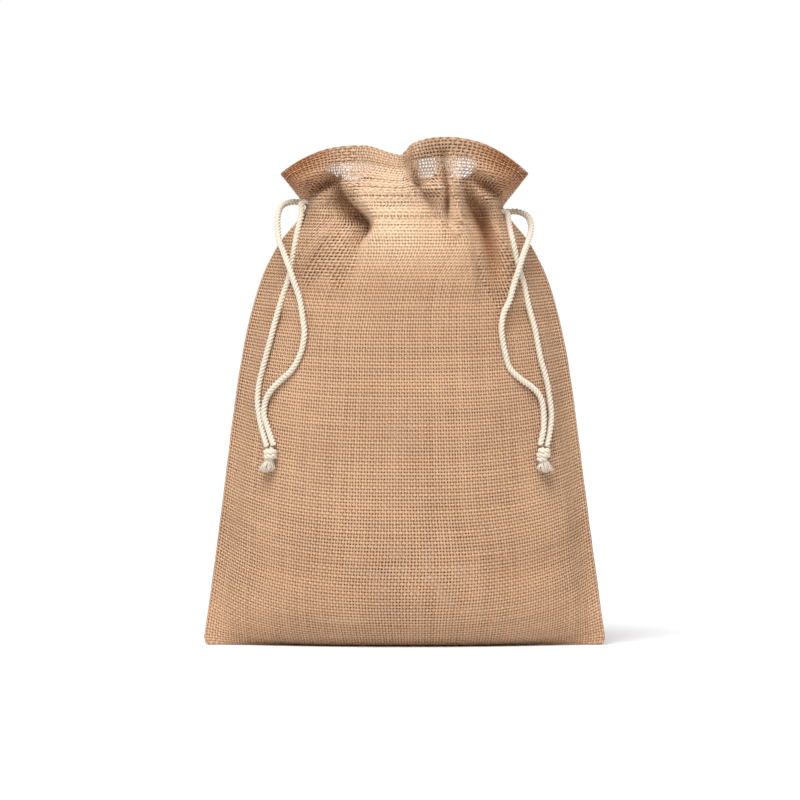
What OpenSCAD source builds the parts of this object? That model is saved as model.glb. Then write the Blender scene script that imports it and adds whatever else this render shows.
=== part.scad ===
// Drawstring gift pouch of coarse jute cloth, gathered at the neck by two cotton cords.
// Origin at the middle of the base, +Z up, the front faces -Y. Millimetres.

/* [Bag] */
// Width of the cloth across the bottom seam
bag_w = 250; // [200:5:300]
// Height from the floor to the top of the frill
bag_h = 316; // [270:2:380]
// Depth of the filled bag at its belly
belly_d = 98; // [80:2:120]
// Depth of the flat base that the bag stands on
base_d = 54; // [44:2:66]
// Height at which the tucked-under base has turned up into the wall
base_rise = 45; // [30:1:60]
// How far each side draws in at half height
waist = 12; // [0:1:18]
// Thickness of the woven cloth
cloth = 1.2; // [0.8:0.1:1.5]

/* [Neck] */
// Width of the gathered neck
neck_w = 121; // [100:1:145]
// Depth of the gathered neck
neck_d = 36; // [30:1:44]
// Height of the cord channel
casing_h = 15; // [12.5:0.5:18]

/* [Frill] */
// Height of the frill above the middle of the cord channel
frill_h = 43; // [36:1:50]
// Sideways flare of the frill, as a share of its height
flare = 0.72; // [0.5:0.02:0.9]
// Forward lean of the frill, as a share of its height
lean = 0.3; // [0.1:0.05:0.5]
// How much lower the rim is at the side seams than in the middle
rim_drop = 18; // [10:1:22]
// Height of the turned-in hem
hem_h = 11; // [8:0.5:13]
// Gap between the front and the back frill, and above the neck
lip_gap = 0.4; // [0.3:0.1:0.8]

/* [Seams] */
// Width of the seam allowances inside the bag
seam_w = 10; // [6:0.5:14]
// Diameter of the sewing thread
thread_d = 0.9; // [0.6:0.1:1.2]
// Length of one stitch
stitch_l = 4; // [3:0.5:5]
// Distance from one stitch to the next
stitch_pitch = 6.5; // [6:0.5:9]

/* [Cords] */
// Diameter of the twisted cord
cord_d = 4; // [3:0.1:4.6]
// Height between the two cords inside the channel
cord_step = 6; // [5:0.2:7]
// Distance of the cords in the channel from the middle plane
cord_y = 9; // [8:0.2:10]
// Clearance round a cord
cord_clear = 0.4; // [0.3:0.05:0.6]
// How far each cord can be drawn out of the neck
draw = 50; // [30:1:50]
// Diameter of the knots
knot_d = 11; // [9:0.5:13]
// Length of the frayed ends below each knot
tassel_l = 11; // [8:1:16]

/* [Hidden] */
$fn = 32;

jute = [0.78, 0.62, 0.44];
jute_dark = [0.66, 0.5, 0.34];
cotton = [0.92, 0.89, 0.82];
thread_colour = [0.72, 0.58, 0.42];

neck_z = bag_h - frill_h;           // middle of the cord channel
shoulder_z = neck_z - casing_h / 2; // lower edge of the channel
panel_top = neck_z + casing_h / 2;  // upper edge of the channel
foot_z = panel_top + lip_gap;       // lower edge of the frill
tip_z = bag_h - rim_drop;           // rim at the side seams
columns = 24;                       // strips across a panel
wall_rows = 13;                     // strips up a panel from its base to the channel
base_rows = 5;                      // strips round the turn of the base
cord_sides = 8;                     // flats round a cord
hinge_gap = 1.5;                    // from the hinge of the tails to each cord end
left_z = neck_z + cord_step / 2;    // height of the left cord in the channel
right_z = neck_z - cord_step / 2;   // height of the right cord in the channel
exit_x = neck_w / 2 + 2;            // hinge of the tails, beside the neck
turn_x = neck_w / 2 - cloth - cord_y - cord_d / 2 - 2; // centre of a cord's far turn
casing_l = 2 * (turn_x - cord_clear); // length of the channel's inner strip, between the turns

// Free cords. Points of each tail from its hinge beside the neck to its knot.
left_front_route = [
    [-64, -9, 276], [-64, -12, 268], [-66, -16, 259], [-68, -19, 249], [-70, -19, 238],
    [-72, -19, 228], [-75, -19, 219], [-79, -20, 206], [-83, -21, 191], [-87, -20, 176],
    [-90, -19, 164], [-91, -20, 153], [-90, -22, 143], [-88, -24, 134], [-85, -28, 124]
];
left_back_route = [
    [-64, 9, 276], [-71, 8, 276], [-77, 4, 273], [-79, -3, 265], [-78, -11, 253],
    [-75, -18, 245], [-72, -24, 237], [-69, -27, 228], [-65, -29, 216], [-63, -31, 204],
    [-62, -33, 194], [-64, -33, 183], [-69, -32, 173], [-76, -29, 166], [-82, -27, 160],
    [-86, -25, 153], [-87, -25, 144], [-84, -28, 134], [-81, -31, 125]
];
right_front_route = [
    [64, -9, 270], [65, -13, 262], [67, -19, 252], [69, -19, 243], [71, -19, 235],
    [74, -18, 225], [77, -20, 211], [81, -21, 196], [84, -22, 180], [88, -21, 165],
    [90, -21, 153], [91, -21, 143], [90, -23, 134], [88, -26, 124]
];
right_back_route = [
    [64, 9, 270], [71, 8, 270], [77, 4, 267], [79, -3, 260], [77, -11, 252],
    [74, -20, 244], [71, -25, 235], [68, -26, 226], [65, -29, 215], [61, -32, 206],
    [60, -34, 195], [62, -34, 183], [65, -33, 173], [72, -31, 166], [79, -28, 161],
    [84, -26, 155], [86, -25, 146], [86, -26, 135], [84, -28, 125]
];
left_knot_at = [-83, -32, 119];
right_knot_at = [86, -30, 119];

// ---- Shape of the filled bag ----

// Smooth step from 0 below a to 1 above b
function ease(a, b, x) =
    let (t = min(1, max(0, (x - a) / (b - a))))
    t * t * (3 - 2 * t);

// Share of the way from the neck to the belly that a wall has swelled at height z
function swell(z, n, p) = pow(1 - pow(min(1, z / shoulder_z), n), p);

// Half width of the bag at height z
function half_w(z) =
    neck_w / 2
    + (bag_w - neck_w) / 2 * swell(z, 3, 2 / 3)
    - waist * sin(180 * min(1, z / shoulder_z))
    + flare * max(0, min(z, tip_z) - neck_z);

// Half depth of the bag at height z, above the turn of the base
function half_d(z) =
    neck_d / 2
    + (belly_d - neck_d) / 2 * swell(z, 4, 0.8)
    + lean * max(0, z - neck_z);

// Outline of the bag seen from above: 1 in the middle, 0 at the side seams
function plan(s, z) =
    let (w = ease(shoulder_z - 40, shoulder_z, z))
    pow(max(0, 1 - pow(abs(s), 2 + 2 * w)), 0.75 - 0.25 * w);

// Point of the front wall at share s of the half width, depth d and height z
function wall_point(s, d, z, inset) = [(half_w(z) - inset) * s, -d * plan(s, z), z];

// Rows of a panel as [depth, height], from the bottom seam up to the neck
function panel_rows(inset) = concat(
    [[0, inset]],
    [for (i = [0:base_rows])
        let (a = 90 * i / base_rows)
        [base_d / 2 + (half_d(base_rise) - base_d / 2 - inset) * sin(a),
         inset + (base_rise - inset) * (1 - cos(a))]],
    [for (i = [1:wall_rows])
        let (z = base_rise + (shoulder_z - base_rise) * sin(90 * i / wall_rows))
        [half_d(z) - inset, z]],
    [for (z = [neck_z, panel_top]) [half_d(z) - inset, z]]
);

// Grid of points over the front panel
function panel_grid(inset) = [
    for (r = panel_rows(inset))
        [for (j = [0:columns]) wall_point(2 * j / columns - 1, r[0], r[1], inset)]
];

// Height of the rim at share s of the half width
function rim_z(s) = bag_h - rim_drop * pow(s, 4);

// Point of the front frill at share s of the half width and height z
function frill_point(s, z, inset) = [
    (half_w(z) - inset) * s,
    -lip_gap - (half_d(z) - inset) * plan(s, z),
    z
];

// Grid of points over the front frill; the last three rows are the hem's
function frill_grid(inset, first) = [
    for (i = [first:5])
        [for (j = [0:columns])
            let (s = 2 * j / columns - 1)
            let (top = rim_z(s))
            let (z = i < 4 ? foot_z + (top - hem_h - foot_z) * i / 3 : top - hem_h * (5 - i) / 2)
            frill_point(s, z, inset)]
];

// ---- Makers ----

// Two triangles of a four-cornered face
function halves(a, b, c, d) = [[a, b, c], [a, c, d]];

// Closed sheet between an outer and an inner grid of points
module sheet(outer, inner) {
    n = len(outer);
    m = len(outer[0]);
    points = [for (g = [outer, inner]) for (row = g) for (p = row) p];
    faces = [
        for (i = [0:n - 2]) for (j = [0:m - 2])
            let (a = i * m + j)
            let (b = n * m + a)
            for (f = concat(halves(a, a + m, a + m + 1, a + 1), halves(b, b + 1, b + m + 1, b + m))) f,
        for (j = [0:m - 2])
            let (a = j)
            let (t = (n - 1) * m + j)
            for (f = concat(halves(a, a + 1, n * m + a + 1, n * m + a),
                            halves(t + 1, t, n * m + t, n * m + t + 1))) f,
        for (i = [0:n - 2])
            let (a = i * m)
            let (b = i * m + m - 1)
            for (f = concat(halves(a + m, a, n * m + a, n * m + a + m),
                            halves(b, b + m, n * m + b + m, n * m + b))) f
    ];
    polyhedron(points = points, faces = faces, convexity = 6);
}

// Direction of a route at its point i
function heading(route, i) =
    let (d = route[min(i + 1, len(route) - 1)] - route[max(i - 1, 0)])
    d / norm(d);

// Round cord swept along a route's own points
module cord(route, d) {
    n = len(route);
    k = cord_sides;
    points = [
        for (i = [0:n - 1])
            let (t = heading(route, i))
            let (u = cross([0, 1, 0], t))
            let (side = u / norm(u))
            let (up = cross(t, side))
            for (j = [0:k - 1]) route[i] + d / 2 * (cos(360 * j / k) * side + sin(360 * j / k) * up)
    ];
    faces = concat(
        [[for (j = [0:k - 1]) j]],
        [[for (j = [k - 1:-1:0]) (n - 1) * k + j]],
        [for (i = [0:n - 2]) for (j = [0:k - 1])
            let (a = i * k + j)
            let (b = i * k + (j + 1) % k)
            for (f = halves(a, a + k, b + k, b)) f]
    );
    polyhedron(points = points, faces = faces, convexity = 6);
}

// One stitch lying on the cloth at p, turned to the angle of the wall
module stitch(p, angle) {
    translate(p)
        rotate([0, 0, angle])
            rotate([0, 90, 0])
                cylinder(d = thread_d, h = stitch_l, center = true, $fn = 6);
}

// Angle of the front wall, seen from above, at share s and height z
function wall_angle(s, z) =
    let (e = 0.01)
    let (a = wall_point(s - e, half_d(z), z, 0))
    let (b = wall_point(s + e, half_d(z), z, 0))
    atan2(b[1] - a[1], b[0] - a[0]);

// Stitches across the front wall at height z
module casing_row(z) {
    count = floor(casing_l / stitch_pitch);
    for (i = [0:count - 1]) {
        s = (i - (count - 1) / 2) * stitch_pitch / half_w(z);
        stitch(wall_point(s, half_d(z), z, 0), wall_angle(s, z));
    }
}

// Inner strip of the channel: a wall between two lips that meet the panel
module casing() {
    inner_y = cord_y - cord_d / 2 - cord_clear;
    half_l = casing_l / 2;
    for (z = [shoulder_z, panel_top - cloth])
        translate([0, 0, z])
            linear_extrude(cloth)
                polygon(concat(
                    [for (i = [0:columns])
                        let (s = (2 * i / columns - 1) * half_l / (half_w(z) - cloth))
                        let (p = wall_point(s, half_d(z) - cloth, z, cloth))
                        [p[0], p[1] - cloth / 4]],
                    [[half_l, -inner_y], [-half_l, -inner_y]]
                ));
    translate([-half_l, -inner_y, shoulder_z])
        cube([casing_l, cloth, casing_h]);
}

// Hole beside the neck where a cord comes out, sx = -1 left and 1 right
module cord_hole(sx, z) {
    translate([sx * neck_w / 2, -cord_y, z])
        rotate([0, 90, 0])
            cylinder(d = cord_d + 2 * cord_clear, h = neck_w / 3, center = true);
}

// Front wall of the bag with the holes for the cords
module panel() {
    difference() {
        sheet(panel_grid(0), panel_grid(cloth));
        cord_hole(-1, left_z);
        cord_hole(1, right_z);
    }
}

// Allowance of the right-hand side seam, two cloths thick
module side_seam() {
    rows = 16;
    low = base_rise / 4;
    high = shoulder_z - 3;
    edge = cloth + 0.3;
    outer = [for (i = [0:rows])
        let (z = low + (high - low) * i / rows)
        let (x = half_w(z) - edge)
        [[x - seam_w, -cloth, z], [x, -cloth, z]]];
    inner = [for (row = outer) [for (p = row) [p[0], cloth, p[2]]]];
    sheet(outer, inner);
}

// Stitches through the right-hand side seam
module side_thread() {
    low = base_rise / 2;
    count = floor((shoulder_z - low) / stitch_pitch / 2);
    for (i = [0:count - 1]) {
        z = low + i * 2 * stitch_pitch;
        translate([half_w(z) - cloth - seam_w / 2, 0, z])
            rotate([90, 0, 0])
                cylinder(d = thread_d, h = 2 * cloth + 2 * thread_d, center = true, $fn = 6);
    }
}

// Far end of a cord inside the neck: two runs and the half turn at the right-hand seam
module cord_turn(z) {
    run_start = draw + 3 - exit_x;
    for (sy = [-1, 1])
        translate([run_start, sy * cord_y, z])
            rotate([0, 90, 0])
                cylinder(d = cord_d, h = turn_x - run_start);
    translate([turn_x, 0, z])
        rotate([0, 0, -90])
            rotate_extrude(angle = 180)
                translate([cord_y, 0])
                    circle(d = cord_d);
}

// The two straight stretches of a cord that are drawn out to the left
module cord_run(z) {
    for (sy = [-1, 1])
        translate([hinge_gap - exit_x, sy * cord_y, z])
            rotate([0, 90, 0])
                cylinder(d = cord_d, h = draw + 1);
}

// Knot that ties the two ends of a cord together, drawn down to a collar
module knot(at) {
    translate(at)
        rotate_extrude()
            difference() {
                union() {
                    translate([0, 1]) circle(d = knot_d);
                    translate([0, -knot_d / 4]) circle(d = knot_d * 0.8);
                }
                translate([-knot_d, -knot_d]) square([knot_d, 2 * knot_d]);
            }
}

// Frayed ends below a knot
module tassel(at, tilt) {
    translate(at)
        rotate([0, tilt, 0])
            translate([0, 0, -knot_d / 2 - tassel_l])
                cylinder(d1 = knot_d * 0.75, d2 = knot_d * 0.35, h = tassel_l);
}

// ---- Pieces of the bag ----

module front_panel() {
    color(jute) panel();
}

module back_panel() {
    color(jute) mirror([0, 1, 0]) panel();
}

module bottom_seam() {
    length = bag_w - 3 * seam_w;
    color(jute_dark)
        translate([-length / 2, -cloth, cloth])
            cube([length, 2 * cloth, seam_w]);
}

module left_side_seam() {
    color(jute_dark) mirror([1, 0, 0]) side_seam();
}

module right_side_seam() {
    color(jute_dark) side_seam();
}

module bottom_thread() {
    count = floor((bag_w - 4 * seam_w) / stitch_pitch / 2);
    color(thread_colour)
        for (i = [0:count - 1])
            translate([(i - (count - 1) / 2) * 2 * stitch_pitch, 0, cloth + seam_w / 2])
                rotate([90, 0, 0])
                    cylinder(d = thread_d, h = 2 * cloth + 2 * thread_d, center = true, $fn = 6);
}

module left_seam_thread() {
    color(thread_colour) mirror([1, 0, 0]) side_thread();
}

module right_seam_thread() {
    color(thread_colour) side_thread();
}

// ---- Channel at the neck ----

module front_casing() {
    color(jute_dark) casing();
}

module back_casing() {
    color(jute_dark) mirror([0, 1, 0]) casing();
}

module casing_thread() {
    casing_row(shoulder_z + cloth / 2);
    casing_row(panel_top - cloth / 2);
}

module front_casing_thread() {
    color(thread_colour) casing_thread();
}

module back_casing_thread() {
    color(thread_colour) mirror([0, 1, 0]) casing_thread();
}

module left_cord_turn() {
    color(cotton) cord_turn(left_z);
}

module right_cord_turn() {
    color(cotton) mirror([1, 0, 0]) cord_turn(right_z);
}

// ---- Frill above the neck ----

module frill() {
    sheet(frill_grid(0, 0), frill_grid(cloth, 0));
}

module hem() {
    sheet(frill_grid(cloth, 3), frill_grid(2 * cloth, 3));
}

module hem_thread() {
    count = floor(1.8 * half_w(tip_z) / stitch_pitch);
    for (i = [0:count - 1]) {
        s = (i - (count - 1) / 2) * stitch_pitch / half_w(tip_z);
        z = rim_z(s) - hem_h + 1.5;
        stitch(frill_point(s, z, 0), wall_angle(s, z));
    }
}

module front_frill() {
    color(jute) frill();
}

module back_frill() {
    color(jute) mirror([0, 1, 0]) frill();
}

module front_hem() {
    color(jute_dark) hem();
}

module back_hem() {
    color(jute_dark) mirror([0, 1, 0]) hem();
}

module front_hem_thread() {
    color(thread_colour) hem_thread();
}

module back_hem_thread() {
    color(thread_colour) mirror([0, 1, 0]) hem_thread();
}

// ---- Drawstrings ----

module left_cord_run() {
    color(cotton) cord_run(left_z);
}

module right_cord_run() {
    color(cotton) mirror([1, 0, 0]) cord_run(right_z);
}

module left_front_tail() {
    color(cotton) cord(left_front_route, cord_d);
}

module left_back_tail() {
    color(cotton) cord(left_back_route, cord_d);
}

module right_front_tail() {
    color(cotton) cord(right_front_route, cord_d);
}

module right_back_tail() {
    color(cotton) cord(right_back_route, cord_d);
}

module left_knot() {
    color(cotton) knot(left_knot_at);
}

module right_knot() {
    color(cotton) knot(right_knot_at);
}

module left_tassel() {
    color(cotton) tassel(left_knot_at, 12);
}

module right_tassel() {
    color(cotton) tassel(right_knot_at, -8);
}

front_panel();
back_panel();
bottom_seam();
left_side_seam();
right_side_seam();
bottom_thread();
left_seam_thread();
right_seam_thread();
front_casing();
back_casing();
front_casing_thread();
back_casing_thread();
left_cord_turn();
right_cord_turn();
front_frill();
front_hem();
front_hem_thread();
back_frill();
back_hem();
back_hem_thread();
left_cord_run();
left_front_tail();
left_back_tail();
left_knot();
left_tassel();
right_cord_run();
right_front_tail();
right_back_tail();
right_knot();
right_tassel();
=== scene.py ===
import bpy
import numpy as np
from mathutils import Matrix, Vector


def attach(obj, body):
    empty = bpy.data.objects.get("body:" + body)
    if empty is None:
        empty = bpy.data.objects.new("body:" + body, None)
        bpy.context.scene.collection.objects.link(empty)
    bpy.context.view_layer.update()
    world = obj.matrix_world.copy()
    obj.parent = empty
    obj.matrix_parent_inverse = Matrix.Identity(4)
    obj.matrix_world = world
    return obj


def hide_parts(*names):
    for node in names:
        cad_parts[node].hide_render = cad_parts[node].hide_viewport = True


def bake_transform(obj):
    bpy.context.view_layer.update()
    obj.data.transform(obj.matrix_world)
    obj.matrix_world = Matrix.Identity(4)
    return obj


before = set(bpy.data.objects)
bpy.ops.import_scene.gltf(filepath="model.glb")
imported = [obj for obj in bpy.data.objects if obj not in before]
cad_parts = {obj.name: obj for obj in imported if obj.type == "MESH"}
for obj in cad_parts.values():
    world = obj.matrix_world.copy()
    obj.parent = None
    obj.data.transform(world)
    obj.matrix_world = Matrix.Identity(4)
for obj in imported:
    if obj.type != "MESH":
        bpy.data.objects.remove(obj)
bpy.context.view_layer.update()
mm = 0.001

# ---- Camera ----
# A long lens a little above the table, square to the front of the pouch.
camera_away = 4.0
camera_tilt = np.radians(1.0)
view_width = 0.4987
aim = Vector((-0.0028, 0.0, 0.1527))
lens_data = bpy.data.cameras.new("camera")
camera = bpy.data.objects.new("camera", lens_data)
bpy.context.scene.collection.objects.link(camera)
bpy.context.scene.camera = camera
camera.location = aim + camera_away * Vector((0, -np.cos(camera_tilt), np.sin(camera_tilt)))
camera.rotation_euler = (np.pi / 2 - camera_tilt, 0, 0)
lens_data.lens = lens_data.sensor_width * camera_away / view_width
lens_data.clip_end = 50
bpy.context.scene.view_settings.view_transform = "Standard"

# ---- Drawstring tails ----
# Each drawstring is a loop of cream cotton cord, three strands laid together. Its two ends come
# out beside the side seam, hang round the neck and lie on the filled cloth down to a shared knot.
cord_diameter = 4 * mm
cord_lay = 7.2 * mm
cord_routes = {
    "left_front_tail": [
        (-64, -9, 276), (-64, -12, 268), (-66, -16, 259), (-68, -19, 249), (-70, -19, 238),
        (-72, -19, 228), (-75, -19, 219), (-79, -20, 206), (-83, -21, 191), (-87, -20, 176),
        (-90, -19, 164), (-91, -20, 153), (-90, -22, 143), (-88, -24, 134), (-85, -28, 124),
    ],
    "left_back_tail": [
        (-64, 9, 276), (-71, 8, 276), (-77, 4, 273), (-79, -3, 265), (-78, -11, 253),
        (-75, -18, 245), (-72, -24, 237), (-69, -27, 228), (-65, -29, 216), (-63, -31, 204),
        (-62, -33, 194), (-64, -33, 183), (-69, -32, 173), (-76, -29, 166), (-82, -27, 160),
        (-86, -25, 153), (-87, -25, 144), (-84, -28, 134), (-81, -31, 125),
    ],
    "right_front_tail": [
        (64, -9, 270), (65, -13, 262), (67, -19, 252), (69, -19, 243), (71, -19, 235),
        (74, -18, 225), (77, -20, 211), (81, -21, 196), (84, -22, 180), (88, -21, 165),
        (90, -21, 153), (91, -21, 143), (90, -23, 134), (88, -26, 124),
    ],
    "right_back_tail": [
        (64, 9, 270), (71, 8, 270), (77, 4, 267), (79, -3, 260), (77, -11, 252),
        (74, -20, 244), (71, -25, 235), (68, -26, 226), (65, -29, 215), (61, -32, 206),
        (60, -34, 195), (62, -34, 183), (65, -33, 173), (72, -31, 166), (79, -28, 161),
        (84, -26, 155), (86, -25, 146), (86, -26, 135), (84, -28, 125),
    ],
}


def unit(vectors):
    """Each vector divided by its own length."""
    return vectors / np.maximum(np.linalg.norm(vectors, axis=-1, keepdims=True), 1e-12)


def run_along(points):
    """Distance travelled from the first point to each point of a line."""
    steps = np.linalg.norm(np.diff(points, axis=0), axis=1)
    return np.concatenate([[0], np.cumsum(steps)])


def smooth_line(points, step):
    """Points a step apart along the cubic curve that passes through the given points.
    Between two points the curve is the Catmull-Rom blend of the four nearest."""
    p = np.array(points, float)
    p = np.concatenate([[2 * p[0] - p[1]], p, [2 * p[-1] - p[-2]]])
    t = np.linspace(0, 1, 12, endpoint=False)[None, :, None]
    a, b, c, d = (p[k:len(p) - 3 + k, None, :] for k in range(4))
    fine = 0.5 * (2 * b + (c - a) * t + (2 * a - 5 * b + 4 * c - d) * t ** 2
                  + (3 * b - a - 3 * c + d) * t ** 3)
    fine = np.concatenate([fine.reshape(-1, p.shape[1]), [p[-2]]])
    run = run_along(fine)
    at = np.linspace(0, run[-1], max(2, round(run[-1] / step) + 1))
    return np.stack([np.interp(at, run, fine[:, k]) for k in range(p.shape[1])], axis=1)


def walls(index):
    """Four-sided faces between each ring of vertex numbers and the next, closed round the ring."""
    after = np.roll(index, -1, axis=-1)
    return np.stack([index[:-1], after[:-1], after[1:], index[1:]], axis=-1).reshape(-1, 4)


def tube_faces(rings, sides):
    """Faces of a tube of rings, each of so many sides, with a flat face at both ends."""
    index = np.arange(rings * sides).reshape(rings, sides)
    return walls(index).tolist() + [index[0, ::-1].tolist(), index[-1].tolist()]


def add_mesh(name, points, faces, smooth=True):
    """A mesh object at the origin from an array of points and a list or array of faces."""
    mesh = bpy.data.meshes.new(name)
    mesh.from_pydata(np.asarray(points, float).reshape(-1, 3), [], faces)
    mesh.update()
    mesh.polygons.foreach_set("use_smooth", np.full(len(mesh.polygons), smooth))
    made = bpy.data.objects.new(name, mesh)
    bpy.context.scene.collection.objects.link(made)
    return made


def store(piece, name, values):
    """A number for each vertex of a piece, that its material reads by name."""
    attribute = piece.data.attributes.new(name, "FLOAT", "POINT")
    attribute.data.foreach_set("value", np.asarray(values, np.float32).ravel())


def laid_cord(name, line, diameter=cord_diameter, lay=cord_lay, strands=3, around=30):
    """A cord of round strands laid together, along a line of points.
    The outline at each ring is the outer edge of touching circles, turned once per lay:
    radius(angle) = c cos(p) + sqrt(s^2 - c^2 sin(p)^2), p the angle from the nearest strand."""
    ahead = unit(np.gradient(line, axis=0))
    side = unit(np.cross([0.0, 1.0, 0.0], ahead))
    up = np.cross(ahead, side)
    run = run_along(line)
    half = np.pi / strands
    strand = np.sin(half) / (1 + np.sin(half))
    angle = np.linspace(0, 2 * np.pi, around, endpoint=False)[None, :]
    turned = angle - 2 * np.pi * run[:, None] / lay
    p = (turned + half) % (2 * half) - half
    groove = np.sqrt(np.maximum(strand ** 2 - ((1 - strand) * np.sin(p)) ** 2, 0))
    radius = diameter / 2 * np.maximum((1 - strand) * np.cos(p) + groove, 0.74)
    points = (line[:, None, :] + (radius * np.cos(angle))[..., None] * side[:, None, :]
              + (radius * np.sin(angle))[..., None] * up[:, None, :])
    made = add_mesh(name, points, tube_faces(len(line), around))
    # How far each point lies from a strand's crown, read by the material for the painted shade between
    # strands.
    store(made, "groove", np.abs(p) / half)
    store(made, "ply", turned * 7 + 2 * np.pi * run[:, None] / (1.1 * mm))
    made.data.materials.append(cotton_material)
    return made


class Link:
    """A shader socket in a material's tree. Sums of links and numbers add Math nodes."""

    def __init__(self, tree, socket=None):
        self.tree = tree
        self.socket = socket

    def add(self, kind, inputs, output=0, **settings):
        """Any other node: its kind, its settings, and the values or links of its sockets."""
        node = self.tree.nodes.new(kind)
        for key, value in settings.items():
            setattr(node, key, value)
        for key, value in inputs.items():
            if isinstance(value, Link):
                self.tree.links.new(value.socket, node.inputs[key])
            else:
                node.inputs[key].default_value = value
        return Link(self.tree, node.outputs[output] if node.outputs else None)

    def math(self, operation, *values):
        return self.add("ShaderNodeMath", dict(enumerate(values)), operation=operation)

    def __add__(self, other):
        return self.math("ADD", self, other)

    def __sub__(self, other):
        return self.math("SUBTRACT", self, other)

    def __mul__(self, other):
        return self.math("MULTIPLY", self, other)

    def __pow__(self, other):
        return self.math("POWER", self, other)

    __radd__ = __add__

    def mix(self, low, high):
        """Colour that goes from low to high as this link goes from 0 to 1."""
        return self.add("ShaderNodeMix", {0: self, 6: low, 7: high}, output=2, data_type="RGBA")

    def noise(self, scale, detail=2.0):
        """Cloudy noise around 0.5, this link being the place."""
        return self.add("ShaderNodeTexNoise", {"Vector": self, "Scale": scale, "Detail": detail})

    def read(self, name):
        """A number stored on the vertices."""
        return self.add("ShaderNodeAttribute", {}, output=2, attribute_name=name)


def new_material(name, finish, sheen=0.0, sheen_tint=(1, 1, 1, 1)):
    """A material from a finish, which returns its colour, roughness, relief and relief depth."""
    material = bpy.data.materials.new(name)
    material.use_nodes = True
    material.node_tree.nodes.clear()
    start = Link(material.node_tree)
    place = start.add("ShaderNodeTexCoord", {}, output=3)
    colour, rough, relief, depth = finish(place)
    bump = start.add("ShaderNodeBump", {"Strength": 1.0, "Distance": depth, "Height": relief})
    surface = start.add("ShaderNodeBsdfPrincipled", {
        "Base Color": colour, "Roughness": rough, "Normal": bump, "Specular IOR Level": 0.2,
        "Sheen Weight": sheen, "Sheen Roughness": 0.5, "Sheen Tint": sheen_tint})
    start.add("ShaderNodeOutputMaterial", {"Surface": surface})
    return material


def cotton(place):
    """Cream cotton: fine yarns along each strand, with painted shade, darker and warmer, between the
    strands.
    """
    ply = place.math("SINE", place.read("ply")) * 0.5 + 0.5
    groove = place.read("groove") ** 3.0
    fuzz = place.noise(900.0, 3.0)
    drift = place.noise(60.0)
    # Painted shade in the grooves between strands.
    shade = 0.72 + ply * 0.16 + fuzz * 0.25 + drift * 0.25 - groove * 0.75
    colour = shade.mix((0.36, 0.27, 0.18, 1), (0.76, 0.68, 0.56, 1))
    return colour, 0.9, ply * 0.5 + fuzz, 0.2 * mm


cotton_material = new_material("cotton_cord", cotton, sheen=0.15)

tails = {}
for name, route in cord_routes.items():
    line = smooth_line(np.array(route) * mm, 0.5 * mm)
    tail = laid_cord(name + "_cord", line)
    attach(tail, name.split("_")[0] + "_tails")
    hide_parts(name)
    tails[name] = (tail, line)

# ---- Knots ----
# The two ends of a drawstring are tied together in one overhand knot, pulled tight: the cord
# goes twice round itself and tucks in at both ends.
knot_places = {"left": (-83, -31, 119.5), "right": (86, -29.5, 119.5)}
knot_height = 6.4 * mm
wrap_reach = 2.7 * mm
wrap_turns = 2.6
for side, place in knot_places.items():
    turn = np.linspace(0, 1, 90)
    wrap_radius = wrap_reach * np.clip(np.minimum(turn, 1 - turn) * 7, 0, 1) ** 0.5
    spin = turn * 2 * np.pi * wrap_turns + (0.4 if side == "left" else 2.1)
    across = wrap_radius * np.cos(spin)
    deep = wrap_radius * np.sin(spin)
    level = (0.5 - turn) * knot_height + 0.22 * across
    centre = np.array(place) * mm
    line = np.stack([across, deep, level], axis=1) + centre
    knot = laid_cord(side + "_knot_wraps", line, diameter=3.5 * mm, lay=7.5 * mm, around=24)
    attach(knot, side + "_tails")
    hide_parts(side + "_knot")

# ---- Frayed ends ----
# Below each knot the cut cord is unlaid, and its yarns spread into a short brush.
fray_count = 110
fray_rings = 7
fray_radius = 0.42 * mm
for side, place in knot_places.items():
    chance = np.random.default_rng(11 if side == "left" else 12)
    lean = -0.32 if side == "left" else 0.12
    drop = np.linspace(0, 1, fray_rings)[None, :]
    reach = (7.4 + 2.2 * chance.random((fray_count, 1))) * mm
    angle = 2 * np.pi * chance.random((fray_count, 1))
    spread = np.sqrt(chance.random((fray_count, 1)))
    wave = 0.5 * mm * np.sin(drop * 5 + 6.3 * chance.random((fray_count, 1))) * drop
    outward = spread * (1.5 * mm + 3.9 * mm * drop ** 1.2)
    x = outward * np.cos(angle) + wave + lean * reach * drop
    y = outward * np.sin(angle) * 0.8 - wave
    z = -2.2 * mm - reach * drop * (1 - 0.15 * spread)
    line = np.stack([x, y, z], axis=-1) + np.array(place) * mm
    sides = np.arange(4) * np.pi / 2
    radius = (fray_radius * (1 - 0.45 * drop))[..., None] * np.ones(4)
    points = line[:, :, None, :] + np.stack(
        [radius * np.cos(sides), radius * np.sin(sides), 0 * radius], axis=-1)
    size = fray_rings * 4
    index = np.arange(size).reshape(fray_rings, 4)[:, ::-1]
    one = np.concatenate([walls(index), [index[0, ::-1]], [index[-1]]])
    faces = (one[None] + size * np.arange(fray_count)[:, None, None]).reshape(-1, 4)
    fray = add_mesh(side + "_frayed_ends", points, faces)
    # On the frayed yarns this number is a random tone for each yarn, not shade.
    store(fray, "groove", np.repeat(chance.random(fray_count), size) * 0.75)
    store(fray, "ply", np.tile(np.arange(size), fray_count))
    fray.data.materials.append(cotton_material)
    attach(fray, side + "_tails")
    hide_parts(side + "_tassel")

for name, (tail, line) in tails.items():
    side = name.split("_")[0]
    tuple(line[0])
    float(run_along(line)[-1])

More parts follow.
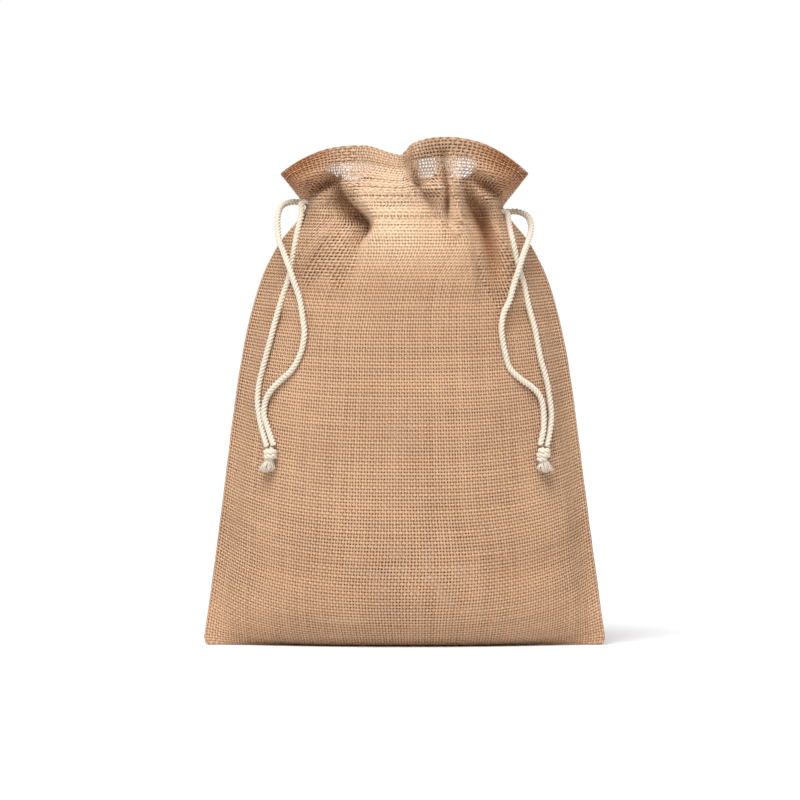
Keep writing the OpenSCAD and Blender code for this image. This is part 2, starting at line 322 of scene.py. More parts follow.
# ---- Shape of the filled cloth ----
# One cloth for each side, from the bottom seam to the rim. It tucks under, swells to the belly,
# draws in to the pleated neck and spreads again in the frill.
neck_z = 273 * mm
shoulder_z = neck_z - 7.5 * mm
panel_top = neck_z + 7.5 * mm
tip_z = 294 * mm
half_base = 125 * mm
half_neck = 60.5 * mm
base_depth = 11 * mm
base_rise = 62 * mm
neck_depth = 22 * mm
belly_depth = 49 * mm
channel_depth = 9 * mm
waist_draw = 12 * mm
shoulder_swell = 3.5 * mm
corner_round = 2.5 * mm
frill_flare = 0.79
frill_lean = 0.3
back_flop = 22 * mm
fold_strength = 1.3
gather_share = 1.6
layer_offset = 0.9 * mm


def ease(low, high, x):
    """Smooth step from 0 below low to 1 above high."""
    t = np.clip((x - low) / (high - low), 0, 1)
    return t * t * (3 - 2 * t)


def bell(x, centre, width):
    """Bell of height 1 round a centre."""
    return np.exp(-((x - centre) / width) ** 2)


def half_width(z):
    """Half width: the neck, plus a swell that fades at the shoulder, less a waist, plus the flare,
    less the rounding of the bottom corners."""
    u = np.clip(z / shoulder_z, 0, 1)
    return (half_neck + (half_base - half_neck) * (1 - u ** 3) ** (2 / 3)
            - waist_draw * np.sin(np.pi * u) + shoulder_swell * bell(z, 267 * mm, 4 * mm)
            + frill_flare * np.clip(z - neck_z, 0, tip_z - neck_z)
            - corner_round * np.clip(1 - z / (6 * mm), 0, 1) ** 2)


def half_depth(z):
    """Half depth above the turn of the base: the neck, plus a swell, plus the frill's lean."""
    u = np.clip(z / shoulder_z, 0, 1)
    return (neck_depth + (belly_depth - neck_depth) * (1 - u ** 4) ** 0.8
            + frill_lean * np.clip(z - neck_z, 0, 1))


def fold(x, z, line, left, right=None):
    """Height of one fold on a cloth seen flat: a bell across a line drawn on it.
    The line's points are (across, up, height) in millimetres, upward or to the right.
    Left and right are the bell's widths on the two sides of the line."""
    right = right or left
    dense = smooth_line(np.array(line, float) * mm, 1.2 * mm)
    reach = 2.4 * max(left, right) * mm
    low = dense.min(axis=0) - reach
    high = dense.max(axis=0) + reach
    near = (x > low[0]) & (x < high[0]) & (z > low[1]) & (z < high[1])
    gap = np.stack([x[near], z[near]], axis=1)[:, None, :] - dense[None, :, :2]
    away = np.sum(gap ** 2, axis=2)
    closest = np.argmin(away, axis=1)
    one = np.arange(len(closest))
    ahead = np.gradient(dense[:, :2], axis=0)[closest]
    toward = gap[one, closest]
    leftward = ahead[:, 0] * toward[:, 1] - ahead[:, 1] * toward[:, 0] > 0
    width = np.where(leftward, left, right) * mm
    height = np.zeros_like(x)
    height[near] = dense[closest, 2] * np.exp(-away[one, closest] / width ** 2)
    return height


front_folds = [
    # long dark dart left of the middle, and the bright edge of cloth on its right
    ([(-44, 212, 0), (-40, 228, -1.5), (-34, 243, -4), (-27, 252, -7), (-22, 260, -11),
      (-25, 266, -13), (-32, 272, -13), (-38, 280, -11), (-42, 290, -6), (-45, 301, -1)], 7.5, 2.4),
    ([(-14, 258, 1), (-18, 267, 4), (-26, 277, 5), (-33, 287, 4), (-37, 298, 1)], 4, 7),
    # puff under the left wing of the frill, the crease above it, and the wing's own roll
    ([(-60, 266, 1), (-55, 273, 4), (-49, 280, 5), (-43, 285, 2)], 4, 6),
    ([(-63, 274, 0), (-57, 281, -5), (-50, 286, -7), (-43, 290, -5), (-37, 293, -1)], 3, 2.5),
    ([(-72, 288, 0), (-62, 289, 4), (-54, 293, 5), (-46, 297, 3)], 5, 3.5),
    # broad smooth middle
    ([(2, 220, 0), (0, 245, 3), (-2, 262, 5), (-6, 280, 5), (-9, 300, 2)], 13, 15),
    # from the notch in the rim a crease runs down to the right, with a pocket beside it
    ([(19, 269, -2), (15, 276, -5), (10, 283, -7), (6, 290, -7), (3, 298, -6), (1, 308, -5)], 2.5, 5),
    ([(10, 290, -2), (14, 296, -5), (16, 304, -3)], 7),
    ([(11, 284, 3), (17, 286, 5), (24, 285, 3)], 2.2, 5),
    # narrow upright crease right of the pocket, and the column beside it
    ([(26, 250, 0), (27, 262, -3), (27, 272, -8), (27, 281, -8), (25, 292, -5), (24, 307, -3)], 2.5, 2.2),
    ([(33, 258, 3), (33, 272, 4), (33, 288, 4), (34, 302, 1)], 4, 3),
    # sharp pleat on the right, and the deep valley behind its edge
    ([(47, 212, 0), (43, 228, 3), (41, 245, 5), (37, 262, 5), (33, 276, 4)], 11, 2.2),
    ([(62, 200, 0), (57, 222, -2.5), (54, 240, -8), (50, 256, -13), (46, 266, -13), (41, 277, -9),
      (38, 286, -3)], 4, 6),
    # puff under the right wing, the crease above it, and the wing's own roll
    ([(42, 283, 2), (48, 280, 5), (54, 275, 5), (60, 267, 1)], 3.5, 5),
    ([(38, 293, -1), (45, 290, -5), (52, 285, -7), (58, 280, -5), (62, 275, 0)], 3, 2.5),
    ([(46, 297, 3), (54, 293, 5), (62, 290, 4), (72, 288, 0)], 5, 3.5),
    # ridges and valleys that fan out below the neck
    ([(-60, 208, 0), (-48, 228, 1.6), (-36, 243, 2.6), (-22, 253, 1)], 5, 6),
    ([(-72, 214, 0), (-60, 230, -1), (-50, 246, -2), (-42, 258, -2)], 5, 4),
    ([(-78, 228, 0), (-66, 241, 1.5), (-56, 256, 3.5), (-50, 268, 3)], 5, 8),
    ([(66, 205, 0), (62, 230, 0.6), (58, 252, 3.5), (54, 266, 3)], 5),
    ([(12, 200, 0), (12, 225, -1), (14, 248, -1.6), (17, 262, -1)], 5),
    ([(-14, 190, 0), (-15, 220, -1), (-13, 245, -1.2), (-12, 258, 0)], 6),
    ([(24, 190, 0), (26, 220, 1), (24, 245, 1.6), (22, 260, 1)], 5),
    # soft puckers across both sides
    ([(-100, 212, 0), (-84, 219, 0.6), (-66, 215, 0.7), (-48, 207, 0)], 5, 6),
    ([(-98, 197, 0), (-80, 203, -1.6), (-62, 200, -1.2), (-46, 196, 0)], 6),
    ([(-94, 236, 0), (-84, 234, -1.4), (-70, 228, -1.2), (-58, 222, 0)], 5),
    ([(48, 207, 0), (66, 214, 0.7), (84, 220, 0.6), (100, 214, 0)], 5, 6),
    ([(46, 196, 0), (62, 200, -1.2), (80, 205, -1.6), (98, 200, 0)], 6),
    ([(58, 222, 0), (70, 229, -1.2), (84, 235, -1.4), (94, 237, 0)], 5),
    # wide, shallow waves of the belly
    ([(-60, 60, 0), (-50, 100, 1.2), (-46, 150, 1.2), (-50, 190, 0)], 16),
    ([(20, 70, 0), (30, 110, 1), (28, 160, 1.2), (22, 200, 0)], 18),
    ([(-110, 60, 0), (-80, 48, -1.5), (-40, 42, -1), (0, 40, 0)], 12),
    ([(20, 44, 0), (60, 46, -1.2), (90, 54, -1.5), (112, 70, 0)], 12),
]
back_folds = [
    ([(-66, 214, 0), (-56, 238, -4), (-47, 262, -10), (-45, 278, -10), (-48, 296, -4)], 4, 5),
    ([(-38, 208, 0), (-31, 236, -4), (-25, 262, -11), (-23, 278, -11), (-24, 296, -5)], 4.5, 3.5),
    ([(-8, 214, 0), (-5, 240, -3), (-3, 262, -9), (-3, 278, -10), (-4, 296, -4)], 3.5, 4.5),
    ([(30, 206, 0), (24, 234, -4), (18, 260, -11), (17, 278, -11), (18, 296, -5)], 5, 3.5),
    ([(62, 212, 0), (51, 238, -4), (41, 262, -10), (39, 278, -10), (42, 296, -4)], 4, 5),
    ([(-50, 216, 0), (-42, 240, 2.5), (-35, 264, 5), (-34, 282, 4)], 6),
    ([(-20, 206, 0), (-17, 236, 2), (-14, 264, 4), (-13, 282, 4)], 6),
    ([(10, 206, 0), (8, 236, 2), (7, 264, 4), (7, 282, 4)], 6),
    ([(45, 214, 0), (36, 240, 2.5), (29, 264, 5), (28, 282, 4)], 6),
    ([(-62, 272, 1), (-56, 278, 4), (-50, 284, 2)], 4, 5),
    ([(50, 284, 2), (56, 278, 4), (62, 272, 1)], 4, 5),
    ([(-98, 206, 0), (-80, 212, 2), (-60, 208, 0)], 6),
    ([(56, 204, 0), (78, 210, 2), (98, 206, 0)], 6),
    ([(-94, 230, 0), (-78, 228, -1.4), (-62, 222, 0)], 6),
    ([(60, 224, 0), (78, 229, -1.4), (94, 230, 0)], 6),
    ([(-30, 60, 0), (-36, 110, 1.4), (-30, 170, 0)], 18),
    ([(40, 70, 0), (48, 120, 1.4), (44, 180, 0)], 18),
]


def front_rim(x):
    """Height of the front rim: a low hump on the left, a notch, a higher hump on the right."""
    s = np.clip(np.abs(x + 28 * mm) / (49 * mm), 0, 1)
    left = 309.5 - 16 * s ** 2.3 * (x < -28 * mm) - 5.5 * ease(-26 * mm, -2 * mm, x)
    right = 314.5 - 21 * np.clip(np.abs(x - 27 * mm) / (50 * mm), 0, 1) ** 2.1
    return (left + (right - left) * ease(-1 * mm, 4 * mm, x)) * mm


def back_rim(x):
    """Height of the back rim: it flops back in waves, and meets the front rim at the tips."""
    dips = sum(np.exp(-((x / mm - at) / wide) ** 4) for at, wide in ((-35, 17), (14, 9), (36, 10)))
    waves = 299 - 9.5 * dips
    edge = ease(50 * mm, 74 * mm, np.abs(x))
    return (waves * (1 - edge) + 293.5 * edge) * mm


def soften(values, rows):
    """Running mean over so many rows on both sides, twice."""
    for _ in range(2):
        total = np.cumsum(np.pad(values, ((rows + 1, rows), (0, 0)), mode="edge"), axis=0)
        values = (total[2 * rows + 1:] - total[:-2 * rows - 1]) / (2 * rows + 1)
    return values


def cloth_grid(side, warps, pitch, frill_rows, hem_rows):
    """One cloth, rows up and columns across, its warps spaced evenly but closer in the folds.
    x = half width * t; y = depth * plan(t) + folds; z follows the middle, but climbs from
    the corner in step with the side seam; above the panel z runs up to the rim.
    The painted shade is darker the deeper a place lies in a fold and under the wings, and a painted
    highlight makes the middle paler."""
    out = np.linspace(0, base_depth, 12, endpoint=False)
    turn = np.linspace(0, np.pi / 2, 60, endpoint=False)
    rise = np.linspace(base_rise, panel_top, 400)
    depth = np.concatenate([
        out, base_depth + (half_depth(base_rise) - base_depth) * np.sin(turn), half_depth(rise)])
    height = np.concatenate([0 * out, base_rise * (1 - np.cos(turn)), rise])
    run = run_along(np.stack([depth, height], axis=1))
    panel_rows = round(run[-1] / pitch)
    at = np.linspace(0, run[-1], panel_rows)[:, None]
    t = np.linspace(-1, 1, 1401)[None, :]
    share = np.abs(t) ** 3
    z = np.interp(at, run, height) * (1 - share) + panel_top * at / run[-1] * share
    d = np.interp(at, run, depth) + 0 * t
    climb = np.linspace(0, 1, frill_rows + 1)[1:, None]
    if side < 0:
        frill = panel_top + climb * (front_rim(t * half_width(tip_z)) - panel_top)
        deep = half_depth(frill)
    else:
        frill = panel_top + np.sin(climb * np.pi / 2) * (back_rim(t * half_width(tip_z)) - panel_top)
        deep = half_depth(frill) + back_flop * (1 - np.cos(climb * np.pi / 2)) * (1 - t ** 6)
    z = np.concatenate([z, frill])
    d = np.concatenate([d, deep])
    x = half_width(z) * t
    w = ease(shoulder_z - 40 * mm, shoulder_z, z)
    plan = np.maximum(1 - np.abs(t) ** (2 + 2 * w), 0) ** (0.75 - 0.25 * w)
    plan = plan * (w + (1 - w) * ease(-0.02, 0.13, 1 - np.abs(t)))
    folds = fold_strength * sum(fold(x, z, *one) for one in (front_folds if side < 0 else back_folds))
    y = d * plan + folds * ease(0, 0.06, 1 - np.abs(t)) * ease(8 * mm, 50 * mm, z)
    channel = channel_depth * np.minimum(plan * 2, 1) * bell(z, neck_z, 14 * mm)
    y = np.maximum(y, channel) + layer_offset
    foot = layer_offset + 0.3 * mm * (side < 0) * (1 - share[0]) * (1 - ease(0, 30 * mm, z))
    points = np.stack([x, side * y, np.maximum(z, foot)], axis=-1)
    steps = np.linalg.norm(np.diff(points, axis=1), axis=2)
    gathered = soften(np.clip(-folds / (7 * mm), 0, 1), 8)
    steps = steps * (1 + gather_share * gathered[:, 1:])
    reach = np.concatenate([np.zeros((len(z), 1)), np.cumsum(steps, axis=1)], axis=1)
    # Painted shade under the frill's wings, where the cloth faces down over a second layer.
    wing = ease(36 * mm, 66 * mm, np.abs(x)) * ease(276 * mm, 288 * mm, z)
    # Painted highlight on the middle below the neck.
    bright = 0.8 * ease(222 * mm, 262 * mm, z) * bell(x, -4 * mm, 40 * mm)
    # Painted shade in the creases, darker in deeper folds, less the painted highlight on the middle.
    painted_shade_and_highlight = np.clip(-folds / (16 * mm), 0, 1) + 0.8 * wing - bright + 0 * t
    fields = np.concatenate([points, painted_shade_and_highlight[..., None]], axis=-1)
    even = np.linspace(0, 1, warps)
    rows = [[np.interp(even * reach[row, -1], reach[row], fields[row, :, k]) for k in range(4)]
            for row in range(len(z))]
    fields = np.array(rows).transpose(0, 2, 1)
    # Painted shade on the two-layer hem band.
    fields[-hem_rows:, :, 3] += 0.35
    x, z = np.abs(fields[..., 0]), fields[..., 2]
    crowded = (1.25 + 0.35 * ease(270 * mm, 284 * mm, z)
               + 0.3 * ease(26 * mm, 40 * mm, x) * ease(205 * mm, 235 * mm, z)) * mm
    cloth = as_cloth(fields[..., :3], side, np.clip(fields[..., 3], -1, 1), crowded)
    margin = ease(0.62, 0.9, x / half_width(z)) * ease(20 * mm, 40 * mm, z)
    cloth["thin"] = 0.35 * margin if side < 0 else -0.35 + 0 * margin
    return cloth, panel_rows


def outward(grid, side):
    """Outward direction at each crossing, from the steps to its neighbours."""
    normal = np.cross(np.gradient(grid, axis=1), np.gradient(grid, axis=0))
    return unit(normal) * (1 if side < 0 else -1)


def as_cloth(grid, side, painted_shade_and_highlight=0.0, crowded=0.01 * mm):
    """A cloth as a set of arrays with a value at each crossing of a warp and a weft.
    over is 1 where the warp lies on top and -1 where the weft does. Where the warps stand
    closer than crowded, every second one tucks in behind, and the rest cross in turn."""
    row = np.arange(grid.shape[0])[:, None]
    column = np.arange(grid.shape[1])[None, :]
    even = column % 2 == 0
    pitch = soften(np.linalg.norm(np.gradient(grid, axis=1), axis=2), 6)
    tuck = 1 - ease(0.9 * crowded, crowded, pitch)
    over = 1.0 - 2 * ((row + column) % 2)
    sparse = (1.0 - 2 * ((row + column // 2) % 2)) * even
    return {"grid": grid, "normal": outward(grid, side), "over": np.where(tuck > 0.5, sparse, over),
            "hidden": tuck * ~even, "room": 1 + 0.9 * tuck * even, "painted_shade_and_highlight": painted_shade_and_highlight + 0 * tuck,
            "thin": 0 * tuck}


def cut(cloth, rows=slice(None), columns=slice(None), inward=0.0):
    """A part of a cloth, or one row of it, laid so far inward."""
    part = {key: value[rows, columns] for key, value in cloth.items()}
    part["grid"] = part["grid"] - part["normal"] * inward
    return part


# ---- Woven jute ----
# Natural jute, plain weave: thick, slightly uneven yarns with small holes between them.
# Warp yarns run up the bag and weft yarns across it, each over one and under the next.
warp_count = 144
weft_pitch = 2.12 * mm
warp_width = 1.34 * mm
weft_width = 1.66 * mm
yarn_height = 0.62 * mm
crimp = 0.3 * mm
hidden_depth = 0.9 * mm
rng = np.random.default_rng(7)


def wander(rows, columns, smooth):
    """Smooth random values of unit size along each column, different for each column."""
    knots = rng.normal(size=(max(2, rows // smooth) + 3, columns))
    place = np.linspace(0, len(knots) - 2.001, rows)
    low = place.astype(int)
    share = ease(0, 1, place - low)[:, None]
    return knots[low] * (1 - share) + knots[low + 1] * share


def yarns(cloth, kind, sheet_u=(0.0, 1.0)):
    """The warps or the wefts of a cloth, as four-sided tubes with a ring at each crossing:
    centre + normal * crimp * (+1 or -1). A hidden warp lies hidden_depth behind the others.
    Where the cloth is thin the yarns are thinner, and more light comes through."""
    if kind == "weft":
        cloth = {key: value.swapaxes(0, 1) for key, value in cloth.items()}
    grid, normal, thin = cloth["grid"], cloth["normal"], cloth["thin"]
    rows, columns = grid.shape[:2]
    along = unit(np.gradient(grid, axis=0))
    across = unit(np.cross(normal, along))
    gap = np.linalg.norm(np.gradient(grid, axis=1), axis=2)
    slub = 1 + 0.05 * wander(rows, columns, 5) + 0.045 * wander(rows, columns, 24)
    if kind == "warp":
        over, behind = cloth["over"], cloth["hidden"]
        width = warp_width
        wide = np.minimum(width * slub, 0.84 * gap * cloth["room"])
    else:
        over, behind = -cloth["over"], 0 * thin
        width = weft_width
        wide = np.minimum(width * slub, 0.84 * gap)
    wide = wide * (1 - thin * (0.4 + 0.5 * behind))
    high = yarn_height * slub * np.clip(wide / width, 0.6, 1.1)
    drift = 0.06 * mm * wander(rows, columns, 8)
    centre = (grid + normal * (crimp * over - hidden_depth * behind)[..., None]
              + across * drift[..., None])
    corner = np.arange(4) * np.pi / 2
    points = (centre[:, :, None, :]
              + across[:, :, None, :] * (wide[..., None] / 2 * np.cos(corner))[..., None]
              + normal[:, :, None, :] * (high[..., None] / 2 * np.sin(corner))[..., None])
    index = np.arange(rows * columns * 4).reshape(rows, columns, 4)
    faces = np.concatenate([walls(index), index[0, :, ::-1], index[-1]])
    tint = 0.5 + 0.13 * rng.normal(size=columns)[None, :] + 0.1 * wander(rows, columns, 12)
    tint = np.repeat(tint[..., None], 4, axis=2)
    # Painted shade on each yarn: darker on its inner side, where it dips under the crossing yarn, and on
    # hidden warps.
    painted_yarn_light = 0.5 + (0.25 * over - 0.4 * behind)[..., None] + 0.25 * np.sin(corner)
    # Painted shade and painted highlight of the cloth, one value for each corner of each ring.
    painted_light = np.repeat(cloth["painted_shade_and_highlight"].ravel(), 4)
    j, i, k = np.meshgrid(np.arange(rows - 1), np.arange(columns), np.arange(4), indexing="ij")
    u = (i[..., None] + 0.06 + 0.22 * np.stack([k, k + 1, k + 1, k], axis=-1)) / columns
    v = np.stack([j, j, j + 1, j + 1], axis=-1) / (rows - 1)
    u_end = (np.arange(columns)[:, None] + 0.06 + 0.22 * np.array([[3, 2, 1, 0]])) / columns
    map_u = np.concatenate([u.ravel(), u_end.ravel(), u_end.ravel()])
    map_v = np.concatenate([v.ravel(), 0 * u_end.ravel(), 0 * u_end.ravel() + 1])
    map_u = sheet_u[0] + (sheet_u[1] - sheet_u[0]) * map_u
    return (points.reshape(-1, 3), faces, np.stack([map_u, map_v], axis=1),
            {"tint": tint.ravel(), "painted_yarn_light": painted_yarn_light.ravel(), "painted_light": painted_light})


def jute(place):
    """Jute: tan yarns, each a little lighter or redder than the next, with fine fibre streaks.
    The parts of a yarn that dip into the weave are painted darker and redder than its crowns, as
    painted shade. The cloth deep in a fold, under the wings and in the hem gets painted shade, darker
    still, and the middle gets a painted highlight that makes it paler."""
    fibre = place.noise(1500.0)
    patch = place.noise(20.0)
    # Random yarn tone, fibre and patch noise, plus the painted shade on each yarn's dips and inner side.
    shade = (place.read("tint") * 0.4 + place.read("painted_yarn_light") * 1.15 + fibre * 0.35 + patch * 0.45
             - 0.62)
    plain = shade.mix((0.15, 0.048, 0.016, 1), (0.61, 0.385, 0.235, 1))
    # Colour of the painted shade in creases, under the wings and in the hem.
    painted_shade_colour = shade.mix((0.10, 0.028, 0.009, 1), (0.42, 0.175, 0.075, 1))
    # Colour of the painted highlight on the middle.
    painted_highlight_colour = shade.mix((0.30, 0.13, 0.055, 1), (0.90, 0.66, 0.46, 1))
    # Painted light: above 0 it mixes in the painted shade colour, below 0 the painted highlight colour.
    painted_light = place.read("painted_light")
    colour = (painted_light * -1.0).mix(painted_light.mix(plain, painted_shade_colour), painted_highlight_colour)
    return colour, 0.85, fibre, 0.1 * mm


jute_material = new_material("jute_cloth", jute, sheen=0.15, sheen_tint=(1.0, 0.85, 0.65, 1))


def weave(name, sets):
    """One piece of cloth from sets of yarns, with its own map of a strip for each yarn."""
    start = np.cumsum([0] + [len(one[0]) for one in sets])
    points = np.concatenate([one[0] for one in sets])
    faces = np.concatenate([one[1] + shift for one, shift in zip(sets, start)])
    piece = add_mesh(name, points, faces)
    for key in sets[0][3]:
        store(piece, key, np.concatenate([one[3][key] for one in sets]))
    layer = piece.data.uv_layers.new(name="OFBake")
    layer.data.foreach_set("uv", np.concatenate([one[2] for one in sets]).astype(np.float32).ravel())
    piece.data.materials.append(jute_material)
    return piece


def both_ways(name, cloth):
    """Warp and weft together, for the smaller stretches of cloth."""
    return weave(name, [yarns(cloth, "warp", (0.0, 0.5)), yarns(cloth, "weft", (0.5, 1.0))])


def thread_material(place):
    """Jute sewing thread, a little paler than the cloth, with a fine twist."""
    twist = place.noise(1800.0)
    return (twist * 0.8 + 0.1).mix((0.45, 0.26, 0.13, 1), (0.78, 0.55, 0.35, 1)), 0.8, twist, 0.1 * mm


sewing_material = new_material("sewing_thread", thread_material)


def stitches(name, line, normal, pitch, length, width=0.75 * mm):
    """A row of lockstitches on a line of points: each a short tube that rises from the cloth
    and sinks back into it, centre = line + normal * (crown * (1 - u^2) - sink), u from -1 to 1."""
    run = run_along(line)
    count = int(run[-1] / pitch)
    rings, sides = 7, 6
    u = np.linspace(-1, 1, rings)
    at = (np.arange(count)[:, None] + 0.5) * pitch + u * length / 2
    place = np.stack([np.interp(at, run, line[:, k]) for k in range(3)], axis=-1)
    up = unit(np.stack([np.interp(at, run, normal[:, k]) for k in range(3)], axis=-1))
    side = unit(np.cross(up, np.gradient(place, axis=1)))
    place = place + up * (0.85 * mm * (1 - u ** 2) - 0.2 * mm)[None, :, None]
    angle = np.arange(sides) * 2 * np.pi / sides
    radius = width / 2 * np.sqrt(1 - 0.7 * u ** 4)[None, :, None, None]
    points = place[:, :, None, :] + radius * (
        side[:, :, None, :] * np.cos(angle)[:, None] + up[:, :, None, :] * np.sin(angle)[:, None])
    size = rings * sides
    index = np.arange(size).reshape(rings, sides)
    faces = (walls(index)[None] + size * np.arange(count)[:, None, None]).reshape(-1, 4).tolist()
    ends = np.stack([index[0, ::-1], index[-1]])
    faces += (ends[None] + size * np.arange(count)[:, None, None]).reshape(-1, sides).tolist()
    piece = add_mesh(name, points, faces)
    piece.data.materials.append(sewing_material)
    return piece


# ---- Panels ----
# Front and back are cut from one width of jute and hang as the filled bag holds them. The warp
# and the weft of each panel are separate meshes, because each has many yarns.
frill_rows = 16
hem_rows = 6
cloths = {}
panels = {}
for label, side in (("front", -1), ("back", 1)):
    whole, panel_rows = cloth_grid(side, warp_count, weft_pitch, frill_rows, hem_rows)
    cloths[label] = whole
    body = cut(whole, slice(0, panel_rows + 1))
    warp = weave(label + "_panel_warp", [yarns(body, "warp")])
    weft = weave(label + "_panel_weft", [yarns(body, "weft")])
    for piece in (warp, weft):
        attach(piece, "bag")
    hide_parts(label + "_panel")
    panels[label] = (warp, weft)

# ---- Frill and hem ----
# The cloth above the channel stands free as a frill. Its top edge is turned in twice and sewn,
# so the hem is two layers thick. Front and back stay joined at the side seams.
groups = {"left": slice(0, 46), "middle": slice(45, 99), "right": slice(98, warp_count)}
hinge_z = 280.7 * mm
hem_inset = 1.5 * mm
sheet_pieces = {"front": [], "back": []}
for label, side in (("front", -1), ("back", 1)):
    frill = cut(cloths[label], slice(panel_rows, None))
    x, z = frill["grid"][..., 0], frill["grid"][..., 2]
    for across, up, wide, tall in ((-34, 294, 15, 8), (14, 296, 7, 10), (36, 296, 9, 8)):
        patch = np.exp(-((x / mm - across) / wide) ** 4 - ((z / mm - up) / tall) ** 4)
        frill["thin"] = np.maximum(frill["thin"], 1.05 * patch)
    hem = cut(frill, slice(-hem_rows, None), inward=hem_inset)
    edge = cut(frill, -hem_rows + 1)
    for group, columns in groups.items():
        pieces = [both_ways(f"{label}_frill_{group}", cut(frill, columns=columns)),
                  both_ways(f"{label}_hem_{group}", cut(hem, columns=columns)),
                  stitches(f"{label}_hem_stitches_{group}", edge["grid"][columns],
                           edge["normal"][columns], 4.4 * mm, 3.3 * mm, 0.6 * mm)]
        if group == "middle":
            reach = ((0, 0, hinge_z - 2 * mm), (0, 0, hinge_z + 10 * mm))
        else:
            outer = -1 if group == "left" else 1
            reach = ((outer * 69 * mm, 0, 287 * mm), (outer * 52 * mm, 0, 307 * mm))
        for piece in pieces:
            label + "_lip"
            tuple(reach[0])
            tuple(reach[1])
            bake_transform(piece)
        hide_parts(label + "_frill")
        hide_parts(label + "_hem")
        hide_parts(label + "_hem_thread")
        sheet_pieces[label] += pieces

# ---- Channel strips ----
# Inside the neck a strip of the same jute is sewn to each panel along two rows of stitches.
# Between the rows it stands away from the panel and leaves room for the two cords.
strip_inset = 1.8 * mm
strip_y = 3.2 * mm
for label, side in (("front", -1), ("back", 1)):
    grid, normal = cloths[label]["grid"], cloths[label]["normal"]
    middle = warp_count // 2
    low = int(np.argmin(np.abs(grid[:, middle, 2] - shoulder_z)))
    high = panel_rows - 1
    strip = grid[low:high + 1, 8:-8] - normal[low:high + 1, 8:-8] * strip_inset
    bulge = np.sin(np.linspace(0, np.pi, len(strip)))[:, None] ** 0.25
    strip[..., 1] = strip[..., 1] * (1 - bulge) + side * strip_y * bulge
    piece = both_ways(label + "_channel_strip", as_cloth(strip, side))
    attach(piece, "bag")
    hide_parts(label + "_casing")
    for name, row in (("low", low), ("high", high)):
        sewn = stitches(f"{label}_channel_stitches_{name}", grid[row, 6:-6], normal[row, 6:-6],
                        4.6 * mm, 3.4 * mm, 0.6 * mm)
        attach(sewn, "bag")
        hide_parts(label + "_casing_thread")
    [panels[label][1]] + sheet_pieces[label]

# ---- Side and bottom seams ----
# The pouch is sewn inside out and turned, so the allowances lie inside, flat behind the edges:
# two layers beside each side seam, narrower in the frill, and two standing along the bottom.
seam_columns = 7
seam_y = 0.45 * mm
for name, outer in (("left", -1), ("right", 1)):
    height = np.arange(4 * mm, tip_z - 1 * mm, weft_pitch)[:, None]
    narrow = 1 - 0.65 * ease(panel_top - 8 * mm, panel_top + 2 * mm, height)
    inset = np.arange(seam_columns)[None, :] * 1.6 * mm * narrow + 1.2 * mm
    for label, side in (("front", -1), ("back", 1)):
        x = outer * (half_width(height) - inset)
        strip = np.stack([x, 0 * x + side * seam_y, height + 0 * x], axis=-1)
        if outer > 0:
            strip = strip[:, ::-1]
        piece = both_ways(f"{name}_seam_allowance_{label}", as_cloth(strip, side))
        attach(piece, "bag")
        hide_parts(name + "_side_seam")
    edge = np.stack([x[:, 0] * 0 + outer * (half_width(height[:, 0]) - 0.2 * mm),
                     0 * x[:, 0], height[:, 0]], axis=1)
    out = np.stack([np.full(len(edge), outer), 0 * edge[:, 0], 0 * edge[:, 0]], axis=1)
    thread = stitches(name + "_seam_stitches", edge - out * 0.6 * mm, out, 4.2 * mm, 3.4 * mm, 0.8 * mm)
    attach(thread, "bag")
    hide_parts(name + "_seam_thread")
level = np.arange(6)[:, None] * 1.7 * mm + 2.4 * mm
width = np.linspace(-112 * mm, 112 * mm, 131)[None, :]
for label, side in (("front", -1), ("back", 1)):
    strip = np.stack([width + 0 * level, side * seam_y + 0 * (width + level), level + 0 * width], axis=-1)
    piece = both_ways("bottom_allowance_" + label, as_cloth(strip, side))
    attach(piece, "bag")
    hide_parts("bottom_seam")
line = np.stack([width[0], 0 * width[0] - 0.9 * mm, 0 * width[0] + 5 * mm], axis=1)
thread = stitches("bottom_stitches", line, np.tile([[0.0, -1.0, 0.0]], (len(line), 1)), 4.6 * mm, 3.6 * mm)
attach(thread, "bag")
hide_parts("bottom_thread")

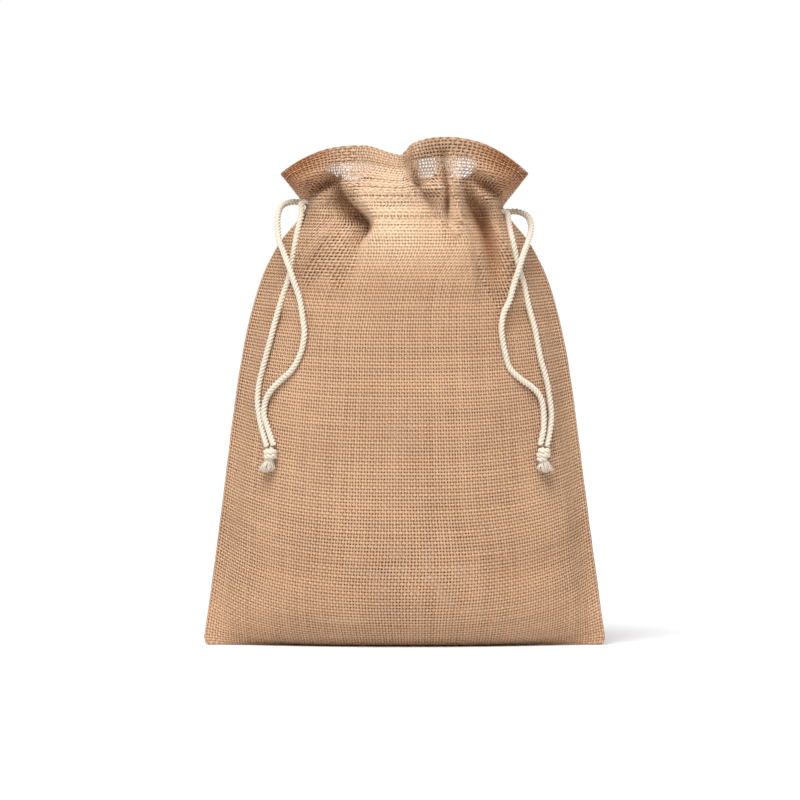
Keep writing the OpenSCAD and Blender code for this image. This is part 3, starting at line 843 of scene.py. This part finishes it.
# ---- Drawstrings inside the channel ----
# Inside the neck each cord runs once along the front and once along the back, and turns back
# at the far seam. The runs slide with the pull; the far turn stays.
run_y = 6 * mm
turn_x = 46.3 * mm
for name, outer, height in (("left", -1, neck_z + 3 * mm), ("right", 1, neck_z - 3 * mm)):
    far = -outer * turn_x
    for label, side in (("front", -1), ("back", 1)):
        ways = [(outer * 64 * mm, side * 9 * mm, height), (outer * 58 * mm, side * 8 * mm, height),
                (outer * 50 * mm, side * run_y, height), (0, side * run_y, height),
                (far, side * run_y, height)]
        run = laid_cord(f"{name}_run_{label}", smooth_line(ways, 0.7 * mm), around=18)
        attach(run, name + "_draw")
        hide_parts(name + "_cord_run")
    bend = np.linspace(-np.pi / 2, np.pi / 2, 24)
    line = np.stack([far - outer * run_y * np.cos(bend), run_y * np.sin(bend), height + 0 * bend], axis=1)
    line = line + np.array([0, 0, 1e-6]) * np.arange(len(line))[:, None]
    turn = laid_cord(name + "_far_turn", line, around=18)
    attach(turn, "bag")
    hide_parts(name + "_cord_turn")

# ---- Table and light ----
# A plain white table in a white room, brighter round the horizon than overhead, with one large
# soft light high in front, a little to the left.
size = 8.0
table = add_mesh("table", [(-size, -size, 0), (size, -size, 0), (size, size, 0), (-size, size, 0)],
                 [(0, 1, 2, 3)], smooth=False)
table.data.materials.append(new_material("table", lambda place: (
    (0.93, 0.93, 0.93, 1), 0.7, place.noise(3.0), 0.0)))

room = bpy.data.worlds.new("room")
bpy.context.scene.world = room
room.use_nodes = True
sky = Link(room.node_tree)
way = sky.add("ShaderNodeTexCoord", {}, output=0)
rise = sky.add("ShaderNodeSeparateXYZ", {0: way}, output=2)
overhead = sky.add("ShaderNodeMapRange", {0: rise, 1: 0.06, 2: 0.3, 3: 0.0, 4: 1.0})
room.node_tree.links.new(overhead.mix((1.0, 1.0, 1.0, 1), (0.36, 0.36, 0.37, 1)).socket,
                         room.node_tree.nodes["Background"].inputs["Color"])

key_data = bpy.data.lights.new("key", "SUN")
key_data.energy = 3.4
key_data.angle = np.radians(36)
key = bpy.data.objects.new("key", key_data)
bpy.context.scene.collection.objects.link(key)
key.rotation_euler = Vector((0.2, 0.64, -1.0)).to_track_quat("-Z", "Y").to_euler()
